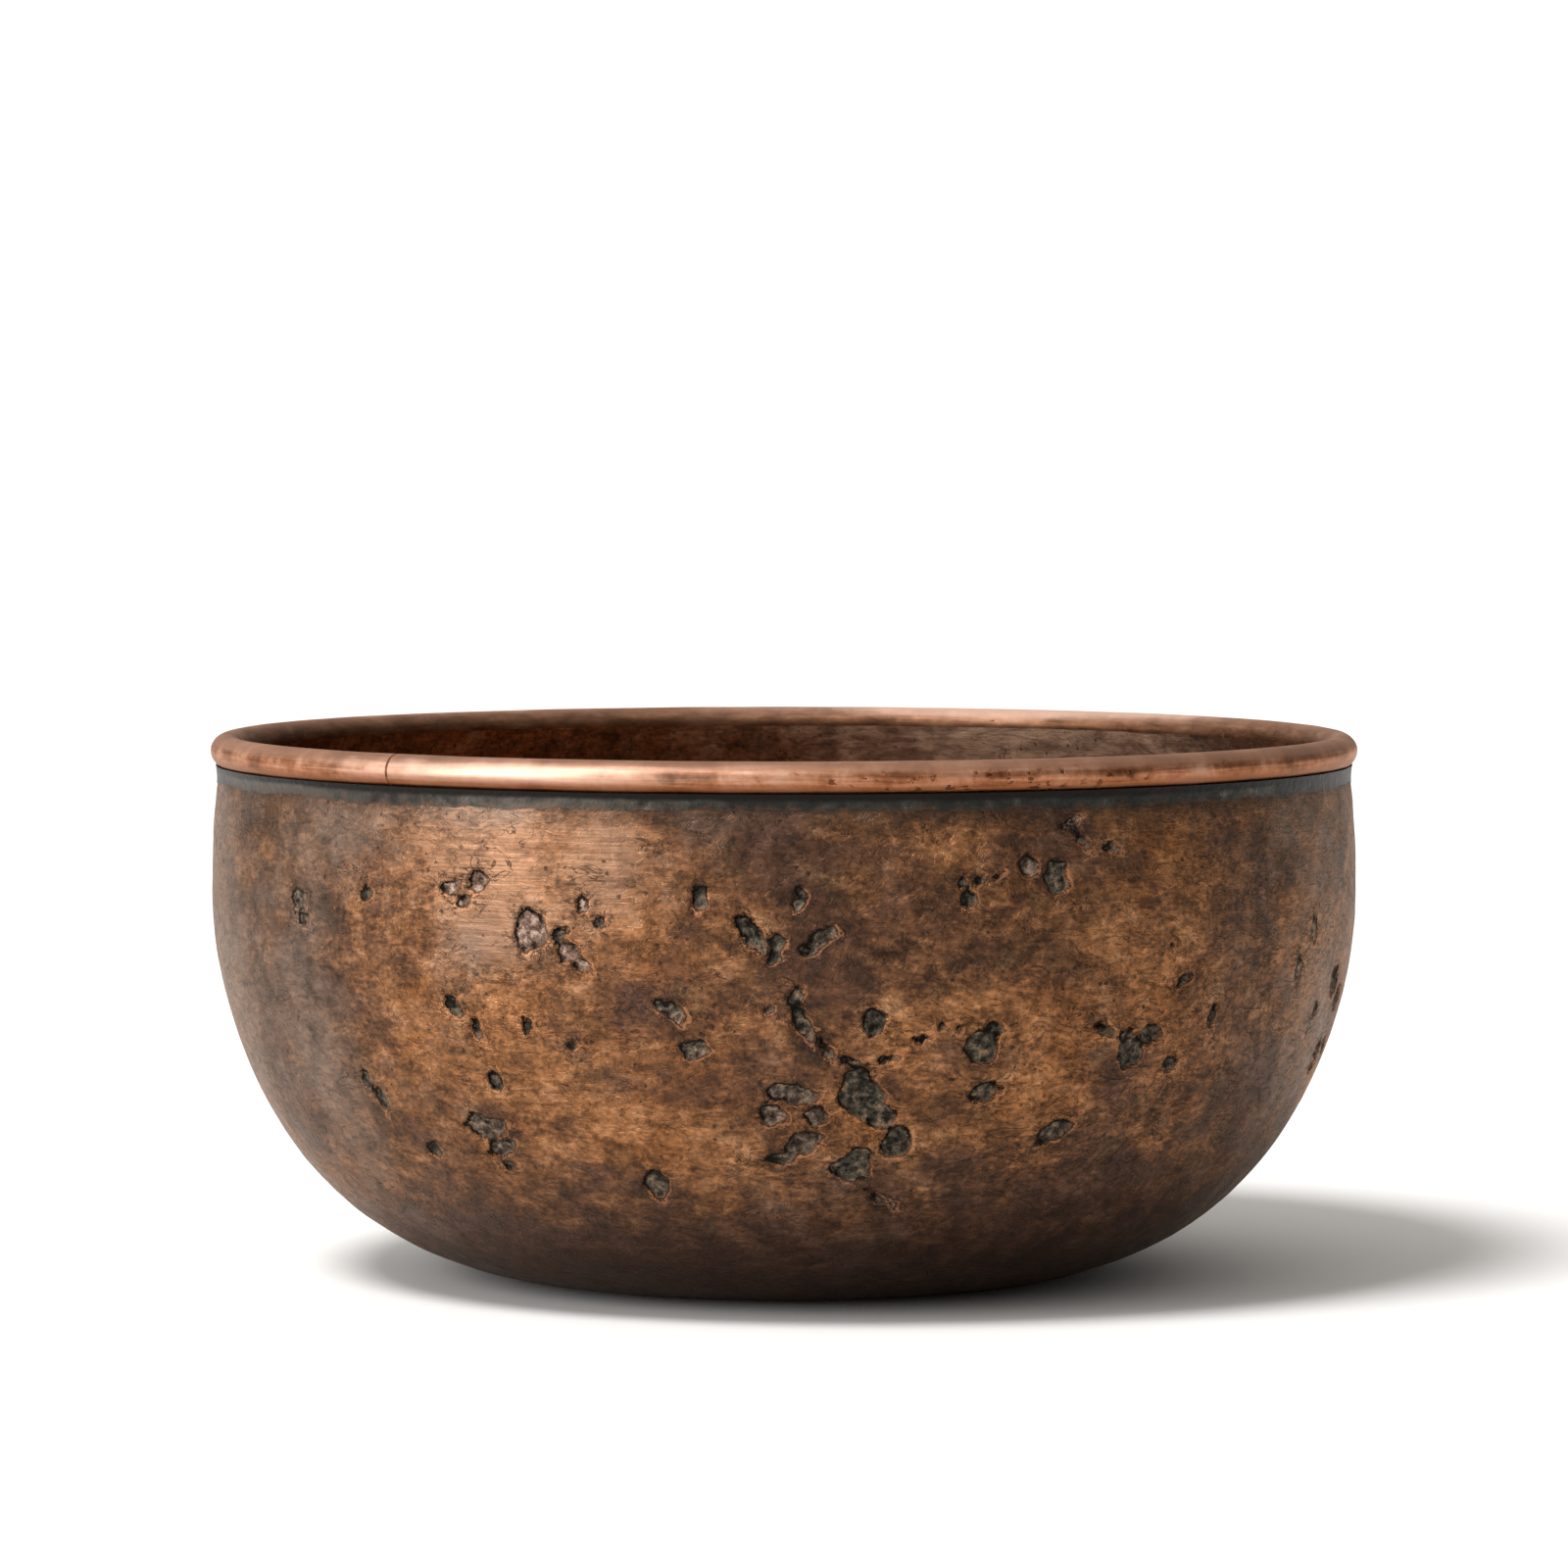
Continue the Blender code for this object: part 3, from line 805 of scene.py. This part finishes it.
def patinated_copper():
    """Hammered copper with a brown patina, worn through to bare copper in patches, and pitted."""
    look = PatinatedCopper()
    bare = look.bareness()
    wrinkle = look.wrinkles()
    brushed_and_highlight = look.brushed_and_highlight()
    dust_and_sheen = look.dust_and_sheen()
    rubbed_and_highlight = look.rubbed_and_highlight(brushed_and_highlight)
    spot = look.math("MAXIMUM", look.cracks(), look.specks())
    edge = look.mark_edge()
    in_mark = look.step(edge, -0.22, -0.42)
    floor_tone = look.noise(1.9, 5, 0.65, 71)

    colour = look.mix(bare, look.patina(), look.bare_copper())
    colour = look.mix(0.9, colour, look.shade(wrinkle), "MULTIPLY")
    # Brushed copper, partly a painted highlight at the upper left of the front
    colour = look.mix(brushed_and_highlight, colour, look.ramp(look.brush, (0.30, 102, 76, 60), (0.50, 138, 104, 82),
                                                 (0.70, 166, 130, 104)))
    # Painted shade: darker towards the floor
    colour = look.paint(colour, look.low, 0.78, 36, 14, 4)
    # Dull pale film, and painted sheen at the left and right edges of the front
    colour = look.mix(dust_and_sheen, colour, look.ramp(look.dash, (0.3, 92, 78, 69), (0.7, 142, 122, 108)))
    # Rubbed pale copper inside, partly a painted highlight
    colour = look.mix(rubbed_and_highlight, colour, linear(196, 160, 134))
    colour = look.paint(colour, look.stain(dust_and_sheen), 0.75, 44, 38, 33)
    colour = look.paint(colour, spot, 0.7, 32, 22, 18)
    # The marks, with painted shade and painted highlight on their sides
    colour = look.marked(colour, edge, in_mark, floor_tone)

    normal = look.relief(edge, in_mark, floor_tone, wrinkle, spot)
    rough = look.add(look.centred(look.blotch, 0.14), look.times(bare, -0.06),
                     look.times(in_mark, 0.12), 0.46)
    metal = look.add(look.times(bare, 0.20), look.times(rubbed_and_highlight, -0.45), 0.74)
    return look.finish(Base_Color=colour, Metallic=metal, Roughness=rough, Normal=normal,
                       Specular_Tint=COPPER_TINT)


def burnished_copper():
    """The rim's rubbed copper: darker on top as painted shade, pale in stripes that are partly a painted
    highlight, darker orange underneath as painted shade, brown inwards.
    """
    look = Look("burnished_copper")
    facing_in = look.field("facing_in")
    facing_down = look.field("facing_down")
    pitted = look.field("pitted")
    film = look.noise(14, 5, 0.6, 0, 0.3)
    streak = look.noise((16, 0.7), 3, 0.55, 4)
    fine = look.noise(1.6, 4, 0.6, 6)

    tone = look.add(look.centred(film, 1.1), look.centred(streak, 0.4), look.centred(fine, 0.3), 0.46)
    colour = look.ramp(tone, (0.10, 108, 66, 42), (0.38, 158, 103, 72), (0.60, 188, 132, 101),
                       (0.85, 212, 164, 136))
    # Painted shade: faces that look up are darker, dimming the key light's highlight on the bead's top
    upward_shade = look.step(facing_down, -0.20, -0.60)
    colour = look.paint(colour, upward_shade, 0.80, 126, 92, 74)
    # Pale stripes: polished copper, partly a painted highlight where the lamps' reflections fall
    pale = look.add(look.field("pale"), look.centred(film, 0.5), look.centred(streak, 0.3))
    pale = look.times(look.step(pale, 0.2, 1.3), 0.8)
    colour = look.mix(pale, colour, linear(216, 180, 160))
    # Painted shade: darker orange on the faces that look down
    under = look.step(look.add(facing_down, look.centred(film, 0.5)), -0.10, 0.75)
    colour = look.paint(colour, under, 0.85, 122, 70, 41)

    # Dark specks, in places, and not on top
    ragged = look.centred(look.noise((2.4, 1.0), 4, 0.7, 0, 0.5), 1.0)
    speck = look.step(look.add(look.cells(3.0, 8), ragged, look.times(pitted, -0.14)), 0.12, -0.04)
    where = look.step(look.add(look.noise(20, 2, 0.5, 14), look.times(pitted, 0.25)), 0.52, 0.64)
    speck = look.times(speck, where, look.step(facing_down, -0.80, -0.20))
    colour = look.paint(colour, speck, 0.8, 74, 36, 18)

    # Brown on the side towards the bowl's axis
    ragged = look.add(facing_in, look.centred(look.noise(9, 6, 0.65, 19, 0.3), 0.40))
    brown = look.times(look.step(ragged, 0.20, 0.90), look.line(pale, -0.5, 0.9))
    brown_tone = look.noise((8, 2.2), 6, 0.65, 23, 0.4)
    colour = look.mix(brown, colour, look.ramp(brown_tone, (0.30, 72, 47, 33), (0.50, 106, 73, 53),
                                               (0.66, 132, 95, 71), (0.76, 156, 116, 88)))

    relief = look.add(look.times(streak, 0.5), look.times(fine, 0.6), look.times(speck, -1.2))
    rough = look.add(look.centred(film, 0.14), look.times(brown, 0.08), look.times(upward_shade, 0.14), 0.41)
    return look.finish(Base_Color=colour, Metallic=look.line(upward_shade, -0.45, 0.95), Roughness=rough,
                       Normal=look.bump(relief, 0.07), Specular_Tint=COPPER_TINT)


def aged_solder():
    """Slate grey solder, paler where it is worn, brown at its foot, and black in the crevice under the bead
    as painted shade.
    """
    look = Look("aged_solder")
    tone = look.noise(5, 6, 0.66, 0, 0.3)
    colour = look.ramp(tone, (0.30, 20, 18, 15), (0.50, 38, 36, 32), (0.62, 56, 54, 49), (0.78, 112, 106, 98))
    teal = look.step(look.noise(22, 3, 0.5, 9), 0.48, 0.62)
    colour = look.paint(colour, teal, 0.3, 28, 38, 39)
    ragged = look.centred(look.noise(3, 5, 0.65), 0.8)
    worn = look.step(look.add(look.field("worn"), ragged), 0.1, 1.1)
    colour = look.paint(colour, worn, 0.4, 116, 104, 94)
    foot = look.step(look.add(look.field("foot"), ragged), 0.65, 1.25)
    colour = look.paint(colour, foot, 0.85, 78, 57, 45)
    # Black painted shade in the crevice under the bead
    colour = look.mix(look.step(look.field("crevice_shade"), 0.10, 0.60), colour, linear(14, 8, 5))
    normal = look.bump(look.noise(1.6, 4, 0.6, 3), 0.25)
    return look.finish(Base_Color=colour, Metallic=0.75, Roughness=0.45, Normal=normal)


def dark_braze():
    look = Look("dark_braze")
    tone = look.noise(1.2, 4, 0.6)
    colour = look.ramp(tone, (0.35, 84, 52, 34), (0.65, 140, 92, 64))
    return look.finish(Base_Color=colour, Metallic=0.9, Roughness=0.5, Normal=look.bump(tone, 0.1))


def drawn_wire():
    look = Look("drawn_wire")
    tone = look.noise(3, 4, 0.6)
    colour = look.ramp(tone, (0.3, 96, 92, 88), (0.7, 140, 136, 130))
    return look.finish(Base_Color=colour, Metallic=1.0, Roughness=look.add(look.centred(tone, 0.1), 0.45))


# ---------------- rim and solder

BEAD_STEPS = 28
SLEEVE_WALL = 1.2 * MM
SLOT_PLAY = 0.1 * MM
SLEEVE_UNEVEN = 0.05 * MM

# The braze stands a little inside the sleeve's outline and fills most of the butt joint
JOINT_HALF_GAP = 0.15
BRAZE_SUNK = 0.98
BRAZE_FILL = 0.95
BRAZE_COLUMNS = 6

# The solder outside and the band inside both sink a little into the wall
SOLDER_STEPS = 10
SOLDER_SUNK = 0.25 * MM
SOLDER_TAPER = 1.6
BAND_STEPS = 12
BAND_EDGE = 0.06 * MM
BAND_SUNK = 0.3 * SHEET
BAND_SOLDER_DROP = 1.8 * MM

# Pale stripes on the rim, partly polished copper and partly a painted highlight where the lamps' reflections
# fall: azimuth, half width, amount, angle up from the outward side (90 is the top)
RIM_PALE_AND_HIGHLIGHT = ((-28, 24, 1.2, 8), (152, 26, 1.8, 112), (215, 24, 0.8, 70))
# How far round the bead a pale stripe fades out
PALE_HALF_ANGLE = 48
# Stretches of the rim, the solder outside and the band inside: azimuth, half width, amount
RIM_PITTED = ((24, 16, 1.2), (112, 12, 1), (250, 16, 1))
SEAM_WORN = ((-24, 14, 0.7), (-60, 18, 1), (170, 30, 1))
# On the band, the dust and polish at the back right are partly a painted highlight where the light from the
# left falls
BAND_DUST_AND_HIGHLIGHT = ((150, 34, 1), (90, 20, 0.7))
BAND_POLISH_AND_HIGHLIGHT = ((150, 30, 1),)


def wander(azimuth, size, shift):
    """Smooth noise round the bowl with features of about size degrees."""
    a = radians(azimuth)
    reach = degrees(1) / size
    return noise.noise(Vector((reach * cos(a) + shift, reach * sin(a) - shift, shift)))


def near_any(azimuth, stretches):
    """The amount of the strongest stretch here. Each is full in its middle and fades outwards."""
    here = 0.0
    for middle, half_width, amount in stretches:
        turn = ((azimuth - middle + 180) % 360 - 180) / half_width
        here = max(here, amount * exp(-turn * turn))
    return here


def slot_angle(radius, side):
    """Angle round the bead, from the way the lip comes in, of one side of the slot."""
    across = (LIP_OUT - BEAD_CENTRE_R) * cos(LIP_LEAN) + (LIP_TOP - BEAD_CENTRE_Z) * sin(LIP_LEAN)
    edge = across + SLOT_PLAY if side > 0 else across - SHEET - SLOT_PLAY
    return asin(edge / radius)


def sleeve_section(azimuth):
    """The sleeve's C section, with the slight unevenness of hand work on its outside."""
    points = []
    for radius, inner in ((BEAD_RADIUS, False), (BEAD_RADIUS - SLEEVE_WALL, True)):
        start, end = slot_angle(radius, -1), slot_angle(radius, 1)
        sweep = 2 * pi - (end - start)
        side = []
        for i in range(BEAD_STEPS + 1):
            angle = start - sweep * i / BEAD_STEPS
            swell = 0 if inner else SLEEVE_UNEVEN * wander(azimuth, 7, 2.0 + cos(angle))
            way = LIP_LEAN + angle
            side.append((BEAD_CENTRE_R + (radius + swell) * sin(way),
                         BEAD_CENTRE_Z - (radius + swell) * cos(way)))
        points += side[::-1] if inner else side
    return points


def sleeve_facings():
    """Which way the sleeve faces at each point of its section: (towards the bowl's axis, down)."""
    ways = [atan2(r - BEAD_CENTRE_R, BEAD_CENTRE_Z - z) for r, z in sleeve_section(0)]
    return [(-sin(way), cos(way)) for way in ways]


def pale_and_highlight_stripes(azimuth, facing_in, facing_down):
    """The amount of the pale stripes, partly a painted highlight, at a place on the rim that faces the given
    way.
    """
    upwards = degrees(atan2(-facing_down, -facing_in))
    stripes = []
    for middle, half_width, amount, angle in RIM_PALE_AND_HIGHLIGHT:
        aside = (upwards - angle) / PALE_HALF_ANGLE
        stripes.append((middle, half_width, amount * exp(-aside * aside)))
    return near_any(azimuth, stripes)


def make_sleeve():
    first = BUTT_JOINT_AZIMUTH + JOINT_HALF_GAP
    facings = sleeve_facings()
    fields = {
        "facing_in": lambda azimuth, k: facings[k][0],
        "facing_down": lambda azimuth, k: facings[k][1],
        "pale": lambda azimuth, k: pale_and_highlight_stripes(azimuth, *facings[k]),
        "pitted": lambda azimuth, k: near_any(azimuth, RIM_PITTED),
    }
    return ring("burnished_rim", sleeve_section, fields,
                gap=(first, first + 360 - 2 * JOINT_HALF_GAP))


def braze_section(azimuth):
    """The sleeve's section, shrunk about its middle."""
    return [(BEAD_CENTRE_R + (r - BEAD_CENTRE_R) * BRAZE_SUNK,
             BEAD_CENTRE_Z + (z - BEAD_CENTRE_Z) * BRAZE_SUNK) for r, z in sleeve_section(azimuth)]


def make_braze():
    reach = JOINT_HALF_GAP * BRAZE_FILL
    return ring("rim_braze", braze_section, gap=(BUTT_JOINT_AZIMUTH - reach, BUTT_JOINT_AZIMUTH + reach),
                columns=BRAZE_COLUMNS)


def solder_section(azimuth):
    """The section of the solder in the corner under the bead outside, uneven round the bowl."""
    reach = 0.7 * MM * (1 + 0.25 * wander(azimuth, 5, 1.3))
    drop = 3.0 * MM * (1 + 0.20 * wander(azimuth, 6, 5.1) + 0.20 * wander(azimuth, 1.6, 8.1))
    corner = BEAD_CENTRE_Z - BEAD_RADIUS
    top = corner + 0.5 * MM
    skin = 0.04 * MM
    points = []
    for i in range(SOLDER_STEPS + 1):
        part = i / SOLDER_STEPS
        height = top + (corner - drop - top) * part
        out = reach * (1 - part) ** SOLDER_TAPER + skin
        points.append((wall_radius(height) + out, height))
    points.append((wall_radius(corner - drop) - SOLDER_SUNK, corner - drop))
    points.append((wall_radius(top) - SOLDER_SUNK, top))
    return points


def crevice_shade(azimuth, k):
    """Painted shade in the corner under the bead: 1 in the corner, fading down the section, further down
    where the seam isn't worn.
    """
    share = 0.66 - 0.16 * near_any(azimuth, SEAM_WORN)
    return max(0.0, 1 - k / (share * SOLDER_STEPS)) if k <= SOLDER_STEPS else 1.0


def make_outer_solder():
    fields = {
        "crevice_shade": crevice_shade,
        "foot": lambda azimuth, k: min(1.0, k / SOLDER_STEPS),
        "worn": lambda azimuth, k: near_any(azimuth, SEAM_WORN),
    }
    return ring("outer_solder", solder_section, fields)


def band_section(azimuth):
    """The band inside the lip: a straight slope from the bead down to the wall, and a hidden back."""
    top = BEAD_CENTRE_Z - 0.2 * BEAD_RADIUS
    top_r = BEAD_CENTRE_R - BEAD_RADIUS + BAND_EDGE
    uneven = 0.10 * MM * wander(azimuth, 6, 3.3)
    face = []
    back = []
    for i in range(BAND_STEPS + 1):
        part = i / BAND_STEPS
        height = top + (BAND_LOW - top) * part
        wall = wall_radius(height) - SHEET
        edge = wall - BAND_EDGE
        face.append((edge + (top_r - edge) * (1 - part) + uneven * sin(pi * part), height))
        if height < LIP_TOP - 1 * MM:
            back.append((wall + BAND_SUNK, height))
    return back + face[::-1]


def make_band():
    fields = {
        "edge": lambda azimuth, k: FAR,
        "inside": lambda azimuth, k: 1.0,
        "wear": lambda azimuth, k: 0.25 + 0.35 * wander(azimuth, 14, 6.1),
        "dust_and_sheen": lambda azimuth, k: near_any(azimuth, BAND_DUST_AND_HIGHLIGHT),
        "polish_and_highlight": lambda azimuth, k: near_any(azimuth, BAND_POLISH_AND_HIGHLIGHT),
    }
    return ring("lip_band", band_section, fields)


def band_solder_section(azimuth):
    """The section of the solder along the band's lower edge, uneven round the bowl."""
    drop = BAND_SOLDER_DROP * (1 + 0.2 * wander(azimuth, 4, 2.2))
    low = BAND_LOW - drop
    wall_top = wall_radius(BAND_LOW) - SHEET
    wall_low = wall_radius(low) - SHEET
    return [(wall_top + BAND_SUNK, BAND_LOW), (wall_low + BAND_SUNK, low),
            (wall_low - 0.02 * MM, low), (wall_top - 0.8 * BAND_EDGE, BAND_LOW - 0.5 * drop),
            (wall_top - 0.95 * BAND_EDGE, BAND_LOW)]


def make_band_solder():
    fields = {
        "crevice_shade": lambda azimuth, k: 0.0,
        "foot": lambda azimuth, k: 1.4,
        "worn": lambda azimuth, k: 0.0,
    }
    return ring("band_solder", band_solder_section, fields)


# ---------------- stage

CAMERA_DISTANCE = 1.651
CAMERA_HEIGHT = 0.201
CAMERA_PITCH = 3.209
CAMERA_LENS = 170.9

# A sun is the key light, and a softbox stands low at the left of the front
KEY_ENERGY = 2.7
KEY_ANGLE = 18
KEY_PLACE = (-0.42, -0.45, 1.0)
SOFTBOX_ENERGY = 15
SOFTBOX_SIZE = (0.9, 1.1)
SOFTBOX_PLACE = (-1.32, -0.90, 0.52)
SOFTBOX_AIM = (0, 0, 0.07)

WORLD_COLOUR = (1, 0.975, 0.935, 1)
WORLD_LEVEL = 0.39
WORLD_LEAN = (-0.34, 0.0, 0.36)
WORLD_SEEN = 1.1

FLOOR_COLOUR = (0.86, 0.855, 0.845, 1)
FLOOR_SIZE = 120


def aim(obj, target):
    obj.rotation_euler = (Vector(target) - obj.location).to_track_quat("-Z", "Y").to_euler()


def make_camera():
    data = bpy.data.cameras.new("camera")
    data.lens = CAMERA_LENS
    data.sensor_width = 36
    data.clip_end = 200
    camera = add_to_scene("camera", data, (0, -CAMERA_DISTANCE, CAMERA_HEIGHT))
    camera.rotation_euler = (radians(90 - CAMERA_PITCH), 0, 0)
    bpy.context.scene.camera = camera


def make_lights():
    key = bpy.data.lights.new("key", "SUN")
    key.energy = KEY_ENERGY
    key.angle = radians(KEY_ANGLE)
    aim(add_to_scene("key", key, KEY_PLACE), (0, 0, 0))
    softbox = bpy.data.lights.new("side_softbox", "AREA")
    softbox.shape = "RECTANGLE"
    softbox.size, softbox.size_y = SOFTBOX_SIZE
    softbox.energy = SOFTBOX_ENERGY
    aim(add_to_scene("side_softbox", softbox, SOFTBOX_PLACE), SOFTBOX_AIM)


def make_world():
    """White to the camera. As light it is a softer white, stronger from the left and from above."""
    world = bpy.data.worlds.new("studio")
    world.use_nodes = True
    new = world.node_tree.nodes.new
    link = world.node_tree.links.new
    back = world.node_tree.nodes["Background"]
    back.inputs["Color"].default_value = WORLD_COLOUR
    lean = new("ShaderNodeVectorMath")
    lean.operation = "DOT_PRODUCT"
    lean.inputs[1].default_value = WORLD_LEAN
    link(new("ShaderNodeTexCoord").outputs["Generated"], lean.inputs[0])
    light = new("ShaderNodeMath")
    light.inputs[1].default_value = WORLD_LEVEL
    link(lean.outputs["Value"], light.inputs[0])
    strength = new("ShaderNodeMapRange")
    strength.inputs["To Max"].default_value = WORLD_SEEN
    link(new("ShaderNodeLightPath").outputs["Is Camera Ray"], strength.inputs["Value"])
    link(light.outputs["Value"], strength.inputs["To Min"])
    link(strength.outputs["Result"], back.inputs["Strength"])
    scene.world = world


def make_floor():
    bpy.ops.mesh.primitive_plane_add(size=FLOOR_SIZE, location=(0, 0, 0))
    floor = bpy.context.object
    floor.name = "floor"
    look = Look("white_floor")
    floor.data.materials.append(look.finish(Base_Color=FLOOR_COLOUR, Roughness=0.9))


# ---------------- assembly

def dress(obj, look, replaced):
    """Gives a mesh its look and lets it stand for a CAD node."""
    obj.data.materials.clear()
    obj.data.materials.append(look)
    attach(obj, "root")
    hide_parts(replaced)


make_camera()
make_lights()
make_world()
make_floor()
scene.view_settings.view_transform = "Standard"

copper_look = patinated_copper()
solder_look = aged_solder()
dress(make_shell(), copper_look, "bowl_shell")
dress(make_band(), copper_look, "inner_lip_band")
dress(make_sleeve(), burnished_copper(), "rim_sleeve")
dress(make_braze(), dark_braze(), "rim_joint_braze")
dress(make_outer_solder(), solder_look, "outer_solder_seam")
dress(make_band_solder(), solder_look, "band_solder_seam")

# The core wire keeps its CAD mesh
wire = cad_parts["rim_core_wire"]
wire_look = drawn_wire()
if wire.material_slots:
    wire.material_slots[0].material = wire_look
else:
    wire.data.materials.append(wire_look)
